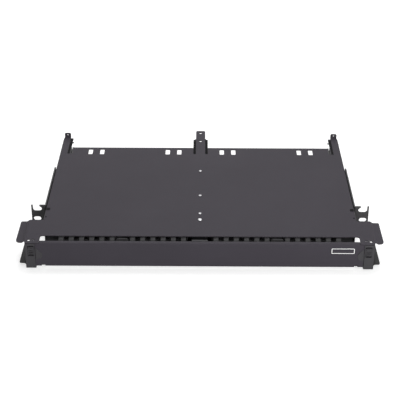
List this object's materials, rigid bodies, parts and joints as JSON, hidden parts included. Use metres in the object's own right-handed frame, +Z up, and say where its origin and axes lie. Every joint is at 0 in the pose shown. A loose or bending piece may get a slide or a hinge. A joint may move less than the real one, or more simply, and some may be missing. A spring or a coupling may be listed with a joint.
{
  "type": "sliding fibre patch drawer",
  "caption": "Black rack-mount fibre enclosure with sliding half-width cassette trays, front finger combs, a drop-down door with slide latches, and cable bend wings.",
  "frame": {"origin": "centre of the footprint, on the surface that the pan rests on", "axes": "+X to the right along the rack width, +Y to the rear, +Z up"},
  "size_m": [0.499, 0.3536, 0.0509],
  "materials": {
    "cover_coat": "black powder coat, satin, fine texture",
    "frame_coat": "black powder coat, satin",
    "moulded_black": "moulded black plastic, satin",
    "plated_steel": "bright plated",
    "spring_steel": "drawn wire"
  },
  "bodies": {
    "chassis": {"top_cover": "cover_coat", "base_pan": "frame_coat", "centre_channel": "frame_coat", "centre_rail_left": "moulded_black", "centre_rail_right": "moulded_black", "side_rail_left": "moulded_black", "side_rail_right": "moulded_black", "cover_rivet_front": "plated_steel", "cover_rivet_middle": "plated_steel", "cover_rivet_rear": "plated_steel", "cover_screw": "plated_steel", "ear_left": "frame_coat", "ear_right": "frame_coat", "ear_screw_left_front": "plated_steel", "ear_screw_left_rear": "plated_steel", "ear_screw_right_front": "plated_steel", "ear_screw_right_rear": "plated_steel", "hinge_lug_left": "frame_coat", "hinge_lug_right": "frame_coat", "hinge_pin_left": "plated_steel", "hinge_pin_right": "plated_steel", "rear_fins_left": "moulded_black", "rear_fins_right": "moulded_black"},
    "door": {"door_panel": "cover_coat", "end_block_left": "moulded_black", "end_block_right": "moulded_black", "latch_spring_left": "spring_steel", "latch_spring_right": "spring_steel"},
    "latch_left": {"latch_left": "moulded_black"},
    "tray_left_lower": {"tray_left_lower": "frame_coat", "comb_left_lower": "moulded_black"},
    "tray_left_middle": {"tray_left_middle": "frame_coat", "comb_left_middle": "moulded_black"},
    "tray_left_upper": {"tray_left_upper": "frame_coat", "comb_left_upper": "moulded_black"},
    "latch_right": {"latch_right": "moulded_black"},
    "tray_right_lower": {"tray_right_lower": "frame_coat", "comb_right_lower": "moulded_black"},
    "tray_right_middle": {"tray_right_middle": "frame_coat", "comb_right_middle": "moulded_black"},
    "tray_right_upper": {"tray_right_upper": "frame_coat", "comb_right_upper": "moulded_black"}
  },
  "joints": [
    {"name": "door_hinge", "type": "hinge", "parent": "chassis", "child": "door", "pos_m": [0, -0.1693, 0.01], "axis": [1, 0, 0], "range_deg": [0, 90]},
    {"name": "latch_left_slide", "type": "slide", "parent": "door", "child": "latch_left", "axis": [0, 0, 1], "range_m": [-0.0015, 0.0016], "stiffness_N_per_m": 300, "deforming": ["latch_spring_left"]},
    {"name": "tray_left_lower_slide", "type": "slide", "parent": "chassis", "child": "tray_left_lower", "axis": [0, 1, 0], "range_m": [-0.004, 0.05]},
    {"name": "tray_left_middle_slide", "type": "slide", "parent": "chassis", "child": "tray_left_middle", "axis": [0, 1, 0], "range_m": [-0.004, 0.05]},
    {"name": "tray_left_upper_slide", "type": "slide", "parent": "chassis", "child": "tray_left_upper", "axis": [0, 1, 0], "range_m": [-0.004, 0.05]},
    {"name": "latch_right_slide", "type": "slide", "parent": "door", "child": "latch_right", "axis": [0, 0, 1], "range_m": [-0.0015, 0.0016], "stiffness_N_per_m": 300, "deforming": ["latch_spring_right"]},
    {"name": "tray_right_lower_slide", "type": "slide", "parent": "chassis", "child": "tray_right_lower", "axis": [0, 1, 0], "range_m": [-0.004, 0.05]},
    {"name": "tray_right_middle_slide", "type": "slide", "parent": "chassis", "child": "tray_right_middle", "axis": [0, 1, 0], "range_m": [-0.004, 0.05]},
    {"name": "tray_right_upper_slide", "type": "slide", "parent": "chassis", "child": "tray_right_upper", "axis": [0, 1, 0], "range_m": [-0.004, 0.05]}
  ]
}
